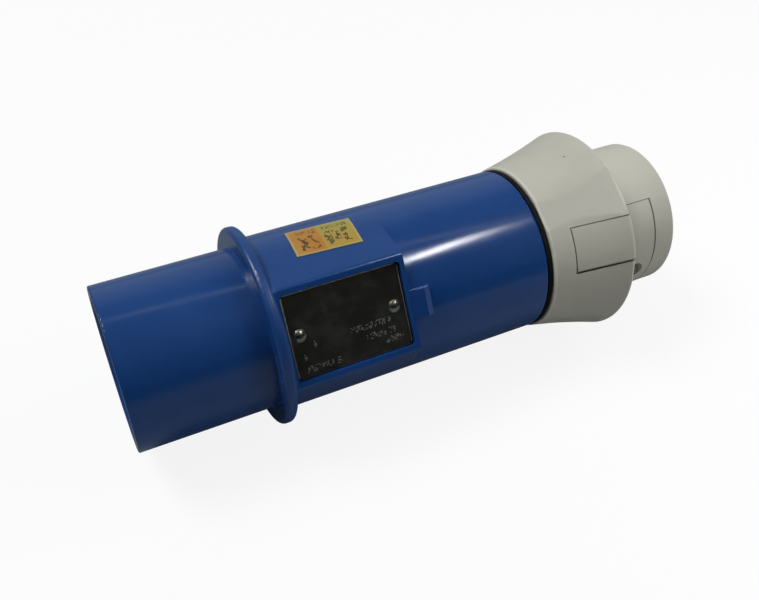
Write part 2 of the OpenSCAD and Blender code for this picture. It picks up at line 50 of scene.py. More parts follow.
# The nameplate faces the front, tilted up, and its own up points up and back.
TILT = math.radians(30)
UP_PLATE = (0.0, math.sin(TILT), math.cos(TILT))
OUT_PLATE = (0.0, -math.cos(TILT), math.sin(TILT))

# The sticker lies on the top, turned a little against the axis.
STICKER_SKEW = math.radians(3.5)

# The clamp cover faces the way that its screw comes out.
COVER_OUT = (0.0, -0.98162718, -0.190809)

# The flange lies between these two stations along the axis, and is rubbed dull.
FLANGE = (0.0364, 0.0402)

# Dark brown of a stained joint or moulding mark, also laid as painted shadow under the ring's
# tongue, with its share of the tone; and the pale cream of a painted highlight along a thin lip.
STAIN_AND_SHADOW = (0.085, 0.066, 0.036, 1)
STAIN_AND_SHADOW_SHARE = 0.75
LIP_HIGHLIGHT = (0.70, 0.68, 0.60, 1)

# The dots punched into the nameplate: their spacing, and the lines of dots in a row.
DOT_PITCH = 0.00034
DOT_LINES = 5.0

# Punched rows on the nameplate: first corner from the left and from the top, as
# shares of the plate, then how many dots wide, and the share that is punched.
PUNCHED_ROWS = [(0.50, 0.59, 34, 0.42), (0.62, 0.715, 24, 0.42), (0.76, 0.82, 16, 0.34),
                (0.08, 0.865, 28, 0.40), (0.175, 0.60, 3, 0.50), (0.075, 0.72, 3, 0.50)]

# Printed rows on the sticker: left, right, top and bottom as shares of the
# sticker, then the number of cells and the weight of the strokes.
PRINTED_ROWS = [(0.13, 0.43, 0.12, 0.29, 4, 0.075), (0.10, 0.42, 0.36, 0.86, 2, 0.045),
                (0.52, 0.92, 0.11, 0.25, 8, 0.060), (0.50, 0.90, 0.33, 0.84, 3, 0.045)]


# ----------------------------------------------------------- places and sizes


def middle(node):
    """The middle of a CAD node's box."""
    low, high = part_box(node)
    return [(a + b) / 2.0 for a, b in zip(low, high)]


def points_of(node):
    """All points of a CAD node as rows of x, y and z."""
    mesh = frame["nodes"][node].data
    flat = np.empty(len(mesh.vertices) * 3)
    mesh.vertices.foreach_get("co", flat)
    return flat.reshape(-1, 3)


def half_width(node, direction):
    """How far a node reaches along direction from the plug's axis."""
    return float(np.abs(points_of(node) @ np.array(direction)).max())


def narrowest_cosine(node, direction):
    """The cosine of the angle around the axis from direction to the node's far edge."""
    skin_depth = 0.0003
    points = points_of(node)
    reach = np.hypot(points[:, 1], points[:, 2])
    outermost = reach > reach.max() - skin_depth
    return float((points[outermost] @ np.array(direction) / reach[outermost]).min())


# ---------------------------------------------------------------- node tools


def feed(tree, socket, value):
    """Links a socket to another one, or writes a plain value into it."""
    if isinstance(value, bpy.types.NodeSocket):
        tree.links.new(value, socket)
    else:
        socket.default_value = value


def add(tree, kind, settings=None, inputs=None):
    """A node with its settings and its inputs, which are named or numbered."""
    made = tree.nodes.new(kind)
    for name, value in (settings or {}).items():
        setattr(made, name, value)
    for name, value in (inputs or {}).items():
        feed(tree, made.inputs[name], value)
    return made


def calc(tree, operation, a, b=0.0, c=None, clamp=False):
    """The result of one Math node."""
    inputs = {0: a, 1: b}
    if c is not None:
        inputs[2] = c
    made = add(tree, "ShaderNodeMath", {"operation": operation, "use_clamp": clamp}, inputs)
    return made.outputs[0]


def product(tree, first, *others):
    """All the values multiplied."""
    for other in others:
        first = calc(tree, "MULTIPLY", first, other)
    return first


def hypotenuse(tree, a, b):
    """The square root of a squared plus b squared."""
    return calc(tree, "SQRT", calc(tree, "ADD", calc(tree, "MULTIPLY", a, a),
                                   calc(tree, "MULTIPLY", b, b)))


def ramp(tree, value, low, high, to_low=0.0, to_high=1.0):
    """value carried smoothly from low..high to to_low..to_high, held at both ends."""
    made = add(tree, "ShaderNodeMapRange", {"interpolation_type": "SMOOTHSTEP"},
               {0: value, 1: low, 2: high, 3: to_low, 4: to_high})
    return made.outputs[0]


def blend_colour(tree, share, first, second):
    """first and second colour mixed by share."""
    made = add(tree, "ShaderNodeMix", {"data_type": "RGBA"}, {0: share, 6: first, 7: second})
    return made.outputs[2]


def mark(tree, tone, mask, share, colour):
    """The tone so far, with a colour laid over it by the mask times share."""
    return blend_colour(tree, calc(tree, "MULTIPLY", mask, share), tone, colour)


def noise(tree, vector, scale, detail=3.0, roughness=0.5):
    """A smooth noise from 0 to 1, with scale cells to the metre."""
    made = add(tree, "ShaderNodeTexNoise", None,
               {"Vector": vector, "Scale": scale, "Detail": detail, "Roughness": roughness})
    return made.outputs["Fac"]


def stretch(tree, vector, factors, turn=(0.0, 0.0, 0.0)):
    """A place turned and then scaled along the three axes."""
    turned = add(tree, "ShaderNodeMapping", None, {"Vector": vector, "Rotation": turn})
    made = add(tree, "ShaderNodeVectorMath", {"operation": "MULTIPLY"},
               {0: turned.outputs[0], 1: factors})
    return made.outputs[0]


def place(tree):
    """Where the point lies on the object, in metres."""
    return add(tree, "ShaderNodeTexCoord").outputs["Object"]


def parts_of(tree, vector):
    """The X, Y and Z of a vector."""
    return add(tree, "ShaderNodeSeparateXYZ", None, {0: vector}).outputs


def along(tree, vector, direction, start):
    """How far a point lies along direction from start, in metres."""
    shifted = add(tree, "ShaderNodeVectorMath", {"operation": "SUBTRACT"}, {0: vector, 1: start})
    made = add(tree, "ShaderNodeVectorMath", {"operation": "DOT_PRODUCT"},
               {0: shifted.outputs[0], 1: direction})
    return made.outputs["Value"]


def inside(tree, value, low, high, soft=0.0):
    """1 between low and high and 0 outside, over a soft edge."""
    edge = max(soft, 0.000001)
    rise = ramp(tree, value, low - edge, low + edge)
    fall = ramp(tree, value, high - edge, high + edge, 1.0, 0.0)
    return calc(tree, "MULTIPLY", rise, fall)


def between(tree, value, low, high):
    """1 between low and high and 0 outside, with hard edges."""
    return calc(tree, "MULTIPLY", calc(tree, "GREATER_THAN", value, low),
                calc(tree, "LESS_THAN", value, high))


def new_group(name, inputs, outputs):
    """An empty shader group with float or vector sockets: name, kind, default."""
    group = bpy.data.node_groups.new(name, "ShaderNodeTree")
    for label, kind, default in inputs:
        socket = group.interface.new_socket(label, in_out="INPUT", socket_type=kind)
        if default is not None:
            socket.default_value = default
    for label, kind in outputs:
        group.interface.new_socket(label, in_out="OUTPUT", socket_type=kind)
    start = group.nodes.new("NodeGroupInput")
    end = group.nodes.new("NodeGroupOutput")
    return group, start.outputs, end.inputs


def use(tree, group, inputs):
    """The outputs of a shared group, set up with the given inputs."""
    made = tree.nodes.new("ShaderNodeGroup")
    made.node_tree = group
    for name, value in inputs.items():
        feed(tree, made.inputs[name], value)
    return made.outputs


# ------------------------------------------------------------ shared effects


def make_moulded_grain():
    """Moulded plastic: a fine skin as height, and slow clouds of tone."""
    group, given, result = new_group(
        "moulded_grain",
        [("Place", "NodeSocketVector", None),
         ("Skin Scale", "NodeSocketFloat", 4000.0),
         ("Cloud Scale", "NodeSocketFloat", 60.0)],
        [("Height", "NodeSocketFloat"), ("Cloud", "NodeSocketFloat")])
    fine = noise(group, given["Place"], given["Skin Scale"], 2.0)
    cloud = noise(group, given["Place"], given["Cloud Scale"], 4.0, 0.6)
    group.links.new(fine, result["Height"])
    group.links.new(ramp(group, cloud, 0.3, 0.7), result["Cloud"])
    return group


def make_edge_wear():
    """Edges: how far the rounded-off normal turns from the real one, broken up."""
    group, given, result = new_group(
        "edge_wear",
        [("Place", "NodeSocketVector", None),
         ("Radius", "NodeSocketFloat", 0.0006),
         ("Gain", "NodeSocketFloat", 6.0),
         ("Breaks", "NodeSocketFloat", 0.4)],
        [("Mask", "NodeSocketFloat")])
    soft = add(group, "ShaderNodeBevel", {"samples": 6}, {"Radius": given["Radius"]})
    true = add(group, "ShaderNodeNewGeometry")
    meet = add(group, "ShaderNodeVectorMath", {"operation": "DOT_PRODUCT"},
               {0: soft.outputs[0], 1: true.outputs["Normal"]})
    turned = calc(group, "SUBTRACT", 1.0, meet.outputs["Value"])
    strong = calc(group, "MULTIPLY", turned, given["Gain"], clamp=True)
    patches = ramp(group, noise(group, given["Place"], 420.0, 3.0), 0.35, 0.6)
    kept = calc(group, "MULTIPLY_ADD", patches, given["Breaks"],
                calc(group, "SUBTRACT", 1.0, given["Breaks"]))
    group.links.new(calc(group, "MULTIPLY", strong, kept), result["Mask"])
    return group


def make_scuffs():
    """Scuffs: long thin scratches in two directions, in patches."""
    group, given, result = new_group(
        "scuffs",
        [("Place", "NodeSocketVector", None),
         ("Amount", "NodeSocketFloat", 0.5)],
        [("Mask", "NodeSocketFloat")])
    lines = []
    for turn, factors in (((0.0, 0.0, 0.35), (60.0, 2600.0, 2600.0)),
                          ((0.0, 0.3, -0.9), (90.0, 3200.0, 3200.0))):
        stretched = stretch(group, given["Place"], factors, turn)
        lines.append(ramp(group, noise(group, stretched, 1.0, 1.0), 0.68, 0.74))
    both = calc(group, "MAXIMUM", lines[0], lines[1])
    patches = ramp(group, noise(group, given["Place"], 75.0, 2.0), 0.48, 0.66)
    group.links.new(product(group, both, patches, given["Amount"]), result["Mask"])
    return group


def make_dot_marks():
    """Rows of punched dots: dots of one grid, most left out by chance, thinning in patches.

    Across and Down are lengths from the row's first corner, in units of the
    dots' spacing, so that a row is Columns wide and DOT_LINES high.
    """
    group, given, result = new_group(
        "dot_marks",
        [("Across", "NodeSocketFloat", 0.0),
         ("Down", "NodeSocketFloat", 0.0),
         ("Columns", "NodeSocketFloat", 20.0),
         ("Chance", "NodeSocketFloat", 0.5)],
        [("Mask", "NodeSocketFloat")])
    column = calc(group, "FLOOR", given["Across"])
    line = calc(group, "FLOOR", given["Down"])
    cell = add(group, "ShaderNodeCombineXYZ", None, {0: column, 1: line, 2: given["Columns"]})
    chance = add(group, "ShaderNodeTexWhiteNoise", {"noise_dimensions": "3D"},
                 {"Vector": cell.outputs[0]}).outputs["Value"]
    punched = calc(group, "LESS_THAN", chance, given["Chance"])
    off_x = calc(group, "SUBTRACT", calc(group, "FRACT", given["Across"]), 0.5)
    off_y = calc(group, "SUBTRACT", calc(group, "FRACT", given["Down"]), 0.5)
    dot = ramp(group, hypotenuse(group, off_x, off_y), 0.34, 0.54, 1.0, 0.0)
    kept = ramp(group, noise(group, cell.outputs[0], 0.45, 1.0), 0.36, 0.50)
    width = between(group, given["Across"], 0.0, given["Columns"])
    height = inside(group, given["Down"], 0.0, DOT_LINES)
    group.links.new(product(group, dot, punched, kept, width, height), result["Mask"])
    return group


def make_pen_strokes():
    """Printed strokes without meaning: the level lines of a slow noise, in upright cells.

    Across and Down are lengths from the row's first corner, in units of one
    cell's width. A row has Cells cells and is Tall cell widths high.
    """
    group, given, result = new_group(
        "pen_strokes",
        [("Across", "NodeSocketFloat", 0.0),
         ("Down", "NodeSocketFloat", 0.0),
         ("Cells", "NodeSocketFloat", 3.0),
         ("Tall", "NodeSocketFloat", 2.0),
         ("Weight", "NodeSocketFloat", 0.05)],
        [("Mask", "NodeSocketFloat")])
    spot = add(group, "ShaderNodeCombineXYZ", None,
               {0: given["Across"], 1: given["Down"], 2: given["Cells"]}).outputs[0]
    level = noise(group, spot, 1.15, 1.0, 0.4)
    near = calc(group, "ABSOLUTE", calc(group, "SUBTRACT", level, 0.5))
    line = ramp(group, calc(group, "SUBTRACT", near, given["Weight"]), 0.0, 0.03, 1.0, 0.0)
    cell = inside(group, calc(group, "FRACT", given["Across"]), 0.10, 0.90, 0.03)
    width = between(group, given["Across"], 0.0, given["Cells"])
    height = between(group, given["Down"], 0.0, given["Tall"])
    group.links.new(product(group, line, cell, width, height), result["Mask"])
    return group


def make_gap_shade():
    """Painted shade from ambient occlusion where a surface is closely faced by another one, in slow
    patches.
    """
    group, given, result = new_group(
        "gap_shade",
        [("Place", "NodeSocketVector", None),
         ("Reach", "NodeSocketFloat", 0.0015)],
        [("Mask", "NodeSocketFloat")])
    open_sky = add(group, "ShaderNodeAmbientOcclusion", {"samples": 8},
                   {"Distance": given["Reach"]}).outputs["AO"]
    shut = ramp(group, open_sky, 0.35, 0.85, 1.0, 0.0)
    patches = ramp(group, noise(group, given["Place"], 300.0, 3.0), 0.3, 0.6, 0.5, 1.0)
    group.links.new(calc(group, "MULTIPLY", shut, patches), result["Mask"])
    return group


GRAIN = make_moulded_grain()
WEAR = make_edge_wear()
SCUFFS = make_scuffs()
DOTS = make_dot_marks()
STROKES = make_pen_strokes()
GAP_SHADE = make_gap_shade()


# ----------------------------------------------------------------- materials


def new_material(name):
    """A material with its shader linked to its output."""
    made = bpy.data.materials.new(name)
    made.use_nodes = True
    tree = made.node_tree
    tree.nodes.clear()
    shader = tree.nodes.new("ShaderNodeBsdfPrincipled")
    end = tree.nodes.new("ShaderNodeOutputMaterial")
    tree.links.new(shader.outputs[0], end.inputs["Surface"])
    return made, tree, shader


def set_surface(tree, shader, tone, rough):
    """Gives the shader its colour and its roughness."""
    tree.links.new(tone, shader.inputs["Base Color"])
    tree.links.new(rough, shader.inputs["Roughness"])


def bump(tree, shader, height, strength, distance):
    """Fine relief on the shader's normal."""
    made = add(tree, "ShaderNodeBump", None,
               {"Strength": strength, "Distance": distance, "Height": height})
    tree.links.new(made.outputs[0], shader.inputs["Normal"])
    return made


def blue_moulding():
    """Glossy blue plastic with paler edges, fine scuffs and a duller flange."""
    deep, light = (0.0095, 0.052, 0.205, 1), (0.012, 0.060, 0.228, 1)
    scuffed, rubbed = (0.05, 0.12, 0.32, 1), (0.05, 0.13, 0.34, 1)
    scuff_share, wear_share = 0.3, 0.35
    base_rough, cloud_rough, scuff_rough, flange_rough = 0.15, 0.05, 0.25, 0.16
    flange_edge = 0.0004

    made, tree, shader = new_material("blue_moulding")
    spot = place(tree)
    grain = use(tree, GRAIN, {"Place": spot, "Skin Scale": 2600.0, "Cloud Scale": 45.0})
    wear = use(tree, WEAR, {"Place": spot, "Radius": 0.0005, "Gain": 3.0, "Breaks": 0.5})
    scuff = use(tree, SCUFFS, {"Place": spot, "Amount": 0.35})
    tone = blend_colour(tree, grain["Cloud"], deep, light)
    tone = mark(tree, tone, scuff["Mask"], scuff_share, scuffed)
    tone = mark(tree, tone, wear["Mask"], wear_share, rubbed)
    rough = calc(tree, "MULTIPLY_ADD", grain["Cloud"], cloud_rough, base_rough)
    rough = calc(tree, "ADD", rough, calc(tree, "MULTIPLY", scuff["Mask"], scuff_rough))
    on_flange = inside(tree, parts_of(tree, spot)["X"], *FLANGE, flange_edge)
    rough = calc(tree, "MULTIPLY_ADD", on_flange, flange_rough, rough)
    set_surface(tree, shader, tone, rough)
    shader.inputs["IOR"].default_value = 1.5
    bump(tree, shader, grain["Height"], strength=0.12, distance=0.00004)
    return made


def grey_moulding(name, own_marks):
    """Satin light grey plastic, faintly yellowed, with painted shade in its gaps.

    own_marks gets the tree, the place and the colour so far. It gives back the
    colour with the part's own marks, and its own softened normal or None.
    """
    dark, light = (0.505, 0.492, 0.418, 1), (0.540, 0.527, 0.452, 1)
    scuffed, rubbed, gap_shade_colour = (0.36, 0.35, 0.30, 1), (0.68, 0.66, 0.58, 1), (0.085, 0.070, 0.045, 1)
    scuff_share, wear_share, gap_shade_share = 0.3, 0.5, 0.8
    base_rough, cloud_rough = 0.50, 0.08

    made, tree, shader = new_material(name)
    spot = place(tree)
    grain = use(tree, GRAIN, {"Place": spot, "Skin Scale": 3400.0, "Cloud Scale": 55.0})
    wear = use(tree, WEAR, {"Place": spot, "Radius": 0.0006, "Gain": 3.5, "Breaks": 0.3})
    scuff = use(tree, SCUFFS, {"Place": spot, "Amount": 0.4})
    gap_shading = use(tree, GAP_SHADE, {"Place": spot, "Reach": 0.0012})
    tone = blend_colour(tree, grain["Cloud"], dark, light)
    tone = mark(tree, tone, scuff["Mask"], scuff_share, scuffed)
    tone = mark(tree, tone, wear["Mask"], wear_share, rubbed)
    # Painted shade: dark brown where another surface closes in.
    tone = mark(tree, tone, gap_shading["Mask"], gap_shade_share, gap_shade_colour)
    tone, normal = own_marks(tree, spot, tone)
    rough = calc(tree, "MULTIPLY_ADD", grain["Cloud"], cloud_rough, base_rough)
    set_surface(tree, shader, tone, rough)
    relief = bump(tree, shader, grain["Height"], strength=0.25, distance=0.00006)
    if normal:
        tree.links.new(normal, relief.inputs["Normal"])
    return made


def ring_marks(tree, spot, tone):
    """The union ring and its tongue: painted highlights on both lips, a moulding dot, stained gaps
    with painted shadow under the tongue, soft facets.
    """
    rear_highlight_share, front_highlight_share = 0.75, 0.55
    dot_back, dot_height, dot_radius, dot_halo = 0.65, 0.0277, 0.00015, 0.00045
    slot_out, wide_line, narrow_line = 0.015, 0.00030, 0.00016
    skin_out, softening = 0.0235, 0.0017

    low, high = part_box("union_ring")
    front, rear = low[0], high[0]
    slot_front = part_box("lock_tongue")[0][0]
    half_slot = half_width("lock_tongue", UP_PLATE)
    x = parts_of(tree, spot)["X"]
    up = along(tree, spot, UP_PLATE, ON_AXIS)
    out = along(tree, spot, OUT_PLATE, ON_AXIS)

    # Painted highlights: a pale cream band along the rear and the front lip.
    rear_lip_highlight = ramp(tree, x, rear - 0.0011, rear - 0.0005)
    front_lip_highlight = ramp(tree, x, front + 0.0005, front + 0.0010, 1.0, 0.0)
    tone = mark(tree, tone, rear_lip_highlight, rear_highlight_share, LIP_HIGHLIGHT)
    tone = mark(tree, tone, front_lip_highlight, front_highlight_share, LIP_HIGHLIGHT)

    moulding_dot = (front + dot_back * (rear - front), 0.0, dot_height)
    reach = add(tree, "ShaderNodeVectorMath", {"operation": "DISTANCE"},
                {0: spot, 1: moulding_dot}).outputs["Value"]
    dot = ramp(tree, reach, dot_radius, dot_halo, 1.0, 0.0)
    tone = mark(tree, tone, dot, STAIN_AND_SHADOW_SHARE, STAIN_AND_SHADOW)

    # The slot's outline, by the larger of the distances in front of the tongue and beside it.
    # The line is widest along the tongue's lower side, where the extra width is painted shadow under
    # the proud tongue.
    before = calc(tree, "SUBTRACT", slot_front, x)
    beside = calc(tree, "SUBTRACT", calc(tree, "ABSOLUTE", up), half_slot)
    from_slot = calc(tree, "MAXIMUM", before, beside)
    line_width = ramp(tree, up, 0.001 - half_slot, 0.002 - half_slot, wide_line, narrow_line)
    off_line = calc(tree, "DIVIDE", calc(tree, "ABSOLUTE", from_slot), line_width)
    line = ramp(tree, off_line, 0.55, 1.15, 1.0, 0.0)
    slot_side = calc(tree, "GREATER_THAN", out, slot_out)
    # A stained joint, with painted shadow along its wide lower side.
    tone = mark(tree, tone, calc(tree, "MULTIPLY", line, slot_side), STAIN_AND_SHADOW_SHARE, STAIN_AND_SHADOW)

    # Softened shading on the outer skin only, clear of the slot and of both lips.
    soft = add(tree, "ShaderNodeBevel", {"samples": 8}, {"Radius": softening}).outputs[0]
    true = add(tree, "ShaderNodeNewGeometry").outputs["Normal"]
    clear = ramp(tree, from_slot, 0.0004, 0.0018)
    flare = inside(tree, x, front + 0.002, rear - 0.0024, 0.0006)
    outer = calc(tree, "GREATER_THAN", hypotenuse(tree, up, out), skin_out)
    mixed = add(tree, "ShaderNodeMix", {"data_type": "VECTOR"},
                {0: product(tree, clear, flare, outer), 4: true, 5: soft})
    return tone, mixed.outputs[1]


def cap_marks(tree, spot, tone):
    """The cable cap and its cover: a stained gap along the cover's rear edge."""
    narrow_line, wide_line = 0.00012, 0.00032
    line_low, line_high = -0.006, 0.004

    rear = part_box("clamp_cover")[1][0]
    edge = narrowest_cosine("clamp_cover", COVER_OUT)
    places = parts_of(tree, spot)
    reach = hypotenuse(tree, places["Y"], places["Z"])
    turned = calc(tree, "DIVIDE", along(tree, spot, COVER_OUT, ON_AXIS), reach)
    on_cover = ramp(tree, turned, edge - 0.01, edge)
    line_width = ramp(tree, places["Z"], line_low, line_high, narrow_line, wide_line)
    off = calc(tree, "ABSOLUTE", calc(tree, "SUBTRACT", places["X"], rear))
    line = ramp(tree, calc(tree, "DIVIDE", off, line_width), 0.5, 1.1, 1.0, 0.0)
    tone = mark(tree, tone, calc(tree, "MULTIPLY", line, on_cover), STAIN_AND_SHADOW_SHARE, STAIN_AND_SHADOW)
    return tone, None


def plain_moulding(name, scales, dark, light, rough, relief, specular=0.5):
    """A moulding of one tone with a fine skin and slow clouds.

    scales holds the scale of the skin and of the clouds, rough the lowest
    roughness and what the clouds add, relief the bump's strength and distance.
    """
    made, tree, shader = new_material(name)
    grain = use(tree, GRAIN, {"Place": place(tree), "Skin Scale": scales[0],
                              "Cloud Scale": scales[1]})
    tone = blend_colour(tree, grain["Cloud"], dark, light)
    set_surface(tree, shader, tone, calc(tree, "MULTIPLY_ADD", grain["Cloud"], rough[1], rough[0]))
    shader.inputs["Specular IOR Level"].default_value = specular
    bump(tree, shader, grain["Height"], *relief)
    return made


def metal(name, dark, light, rough, turning):
    """A metal with fine tool marks: turning scales the marks along each axis."""
    marks_rough = 0.25

    made, tree, shader = new_material(name)
    spot = place(tree)
    marks = noise(tree, stretch(tree, spot, turning), 1.0, 3.0)
    cloud = noise(tree, spot, 260.0, 3.0)
    tone = blend_colour(tree, ramp(tree, cloud, 0.3, 0.7), dark, light)
    set_surface(tree, shader, tone, calc(tree, "MULTIPLY_ADD", marks, marks_rough, rough))
    shader.inputs["Metallic"].default_value = 1.0
    bump(tree, shader, marks, strength=0.15, distance=0.00003)
    return made


def plate_metal():
    """Dark patinated sheet: blotches, drawn lines, punched dots, a worn rim painted brighter towards
    the top, and a painted highlight along the top edge.
    """
    dark, light, drawn = (0.020, 0.020, 0.017, 1), (0.036, 0.035, 0.028, 1), (0.050, 0.050, 0.042, 1)
    rust, rim, top_edge_highlight = (0.045, 0.028, 0.012, 1), (0.50, 0.51, 0.38, 1), (0.90, 0.90, 0.70, 1)
    punched = (0.30, 0.30, 0.26, 1)
    drawn_share, rust_share, top_highlight_share, punched_share = 0.5, 0.7, 0.85, 0.8

    made, tree, shader = new_material("plate_metal")
    spot = place(tree)
    low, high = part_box("nameplate")
    length = high[0] - low[0]
    width = (high[2] - low[2]) / math.cos(TILT)
    across = along(tree, spot, ALONG, middle("nameplate"))
    up = along(tree, spot, UP_PLATE, middle("nameplate"))

    lines = noise(tree, stretch(tree, spot, (70.0, 2200.0, 2200.0)), 1.0, 3.0)
    blotch = noise(tree, spot, 150.0, 5.0, 0.65)
    tone = blend_colour(tree, ramp(tree, blotch, 0.42, 0.68), dark, light)
    tone = mark(tree, tone, ramp(tree, lines, 0.56, 0.74), drawn_share, drawn)

    # The rim, by the distance to the nearest side: rust inside it, and bare metal along it that is
    # painted brighter towards the top as painted light.
    from_end = calc(tree, "SUBTRACT", length / 2, calc(tree, "ABSOLUTE", across))
    from_side = calc(tree, "SUBTRACT", width / 2, calc(tree, "ABSOLUTE", up))
    border = calc(tree, "MINIMUM", from_end, from_side)
    wander = noise(tree, spot, 420.0, 4.0)
    rusty = calc(tree, "MULTIPLY", ramp(tree, border, 0.0005, 0.0035, 1.0, 0.0),
                 ramp(tree, wander, 0.42, 0.66))
    tone = mark(tree, tone, rusty, rust_share, rust)
    bare_rim_and_sheen = product(tree, ramp(tree, border, 0.00014, 0.00038, 1.0, 0.0),
                   ramp(tree, wander, 0.30, 0.52, 0.35, 1.0),
                   ramp(tree, up, -width / 2, width / 2, 0.40, 1.0))
    tone = blend_colour(tree, bare_rim_and_sheen, tone, rim)
    # Painted highlight: a pale line along the plate's top edge.
    from_top = calc(tree, "SUBTRACT", width / 2, up)
    top_highlight = ramp(tree, from_top, 0.00020, 0.00042, 1.0, 0.0)
    tone = mark(tree, tone, top_highlight, top_highlight_share, top_edge_highlight)

    dots = 0.0
    for start, top, columns, chance in PUNCHED_ROWS:
        x = calc(tree, "MULTIPLY_ADD", across, 1 / DOT_PITCH, (0.5 - start) * length / DOT_PITCH)
        y = calc(tree, "MULTIPLY_ADD", up, -1 / DOT_PITCH, (0.5 - top) * width / DOT_PITCH)
        row = use(tree, DOTS, {"Across": x, "Down": y, "Columns": columns, "Chance": chance})
        dots = calc(tree, "MAXIMUM", row["Mask"], dots)
    tone = mark(tree, tone, dots, punched_share, punched)
    set_surface(tree, shader, tone, ramp(tree, blotch, 0.3, 0.7, 0.40, 0.56))
    shader.inputs["Metallic"].default_value = 0.35
    height = calc(tree, "SUBTRACT", calc(tree, "MULTIPLY", lines, 0.3), dots)
    bump(tree, shader, height, strength=0.3, distance=0.00005)
    return made


def from_edge(tree, share, length):
    """The distance to the nearer end of a length, from the share of it that lies behind."""
    off_middle = calc(tree, "ABSOLUTE", calc(tree, "SUBTRACT", share, 0.5))
    return calc(tree, "MULTIPLY", calc(tree, "SUBTRACT", 0.5, off_middle), length)


def sticker_film():
    """A printed film: an orange and a yellow field, a pale border and worn strokes."""
    orange, faded_orange = (0.455, 0.175, 0.020, 1), (0.46, 0.235, 0.045, 1)
    yellow, warm_yellow = (0.375, 0.305, 0.062, 1), (0.43, 0.280, 0.042, 1)
    bare_film, ink_colour = (0.42, 0.36, 0.15, 1), (0.050, 0.034, 0.018, 1)
    border_share, ink_share = 0.8, 0.88
    fields_meet = (0.455, 0.475)

    made, tree, shader = new_material("sticker_film")
    spot = place(tree)
    low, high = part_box("inspection_sticker")
    length = (high[0] - low[0]) - (high[1] - low[1]) * math.sin(STICKER_SKEW)
    height = (high[1] - low[1]) - (high[0] - low[0]) * math.sin(STICKER_SKEW)
    right = (math.cos(STICKER_SKEW), -math.sin(STICKER_SKEW), 0.0)
    up = (math.sin(STICKER_SKEW), math.cos(STICKER_SKEW), 0.0)
    x = calc(tree, "MULTIPLY_ADD", along(tree, spot, right, middle("inspection_sticker")),
             1 / length, 0.5)
    y = calc(tree, "MULTIPLY_ADD", along(tree, spot, up, middle("inspection_sticker")),
             -1 / height, 0.5)

    fade = noise(tree, spot, 160.0, 4.0, 0.6)
    left_field = blend_colour(tree, ramp(tree, fade, 0.3, 0.7), orange, faded_orange)
    right_field = blend_colour(tree, ramp(tree, y, 0.2, 0.9), yellow, warm_yellow)
    tone = blend_colour(tree, ramp(tree, x, *fields_meet), left_field, right_field)
    to_edge = calc(tree, "MINIMUM", from_edge(tree, x, length), from_edge(tree, y, height))
    border = ramp(tree, to_edge, 0.0004, 0.0006, 1.0, 0.0)
    tone = mark(tree, tone, border, border_share, bare_film)

    ink = 0.0
    for start, end, top, bottom, cells, weight in PRINTED_ROWS:
        wide = (end - start) * length / cells
        across = calc(tree, "MULTIPLY", calc(tree, "SUBTRACT", x, start), length / wide)
        down = calc(tree, "MULTIPLY", calc(tree, "SUBTRACT", y, top), height / wide)
        row = use(tree, STROKES, {"Across": across, "Down": down, "Cells": float(cells),
                                  "Tall": (bottom - top) * height / wide, "Weight": weight})
        ink = calc(tree, "MAXIMUM", row["Mask"], ink)
    left_on = ramp(tree, noise(tree, spot, 900.0, 3.0), 0.3, 0.5, 0.55, 1.0)
    tone = mark(tree, tone, calc(tree, "MULTIPLY", ink, left_on), ink_share, ink_colour)
    set_surface(tree, shader, tone, ramp(tree, fade, 0.3, 0.7, 0.36, 0.5))
    bump(tree, shader, fade, strength=0.15, distance=0.00004)
    return made


RING_MATERIAL = grey_moulding("ring_moulding", ring_marks)
CAP_MATERIAL = grey_moulding("cap_moulding", cap_marks)

# The materials by slot, and those of the grey pieces by piece.
SLOT_MATERIALS = {
    "blue_moulding": blue_moulding(),
    "carrier_moulding": plain_moulding("carrier_moulding", (3000.0, 130.0),
                                       (0.018, 0.018, 0.020, 1), (0.034, 0.034, 0.036, 1),
                                       (0.42, 0.12), (0.3, 0.00006)),
    "retainer_moulding": plain_moulding("retainer_moulding", (3000.0, 90.0),
                                        (0.58, 0.55, 0.46, 1), (0.66, 0.63, 0.54, 1),
                                        (0.4, 0.1), (0.2, 0.00005)),
    "seal_rubber": plain_moulding("seal_rubber", (2200.0, 160.0),
                                  (0.004, 0.004, 0.005, 1), (0.010, 0.010, 0.011, 1),
                                  (0.65, 0.15), (0.35, 0.00008), specular=0.15),
    "plate_metal": plate_metal(),
    "rivet_metal": metal("rivet_metal", (0.27, 0.26, 0.20, 1), (0.42, 0.41, 0.34, 1), 0.18,
                         (900.0, 900.0, 900.0)),
    "sticker_film": sticker_film(),
    "pin_brass": metal("pin_brass", (0.52, 0.36, 0.13, 1), (0.66, 0.48, 0.20, 1), 0.2,
                       (3000.0, 60.0, 60.0)),
    "screw_steel": metal("screw_steel", (0.48, 0.48, 0.47, 1), (0.60, 0.60, 0.59, 1), 0.25,
                         (2000.0, 2000.0, 2000.0)),
}
PIECE_MATERIALS = {
    "union_ring": RING_MATERIAL,
    "lock_tongue": RING_MATERIAL,
    "cable_cap": CAP_MATERIAL,
    "clamp_cover": CAP_MATERIAL,
}

for subpart in frame["record"]["subparts"]:
    solid = frame["nodes"][subpart["node"]]
    chosen = PIECE_MATERIALS.get(subpart["node"]) or SLOT_MATERIALS[subpart["material_slot"]]
    solid.data.materials.clear()
    solid.data.materials.append(chosen)


# ------------------------------------------------------ floor, light and camera

# The floor's colour to the camera, to mirrored rays and to all other light, and
# the share of plain white that the camera sees mixed into it.
FLOOR_HALF_WIDTH = 3.0
FLOOR_SEEN = (0.92, 0.92, 0.92, 1)
FLOOR_MIRRORED = (0.24, 0.27, 0.28, 1)
FLOOR_LIT = (0.48, 0.48, 0.48, 1)
FLOOR_WHITE_SHARE = 0.88

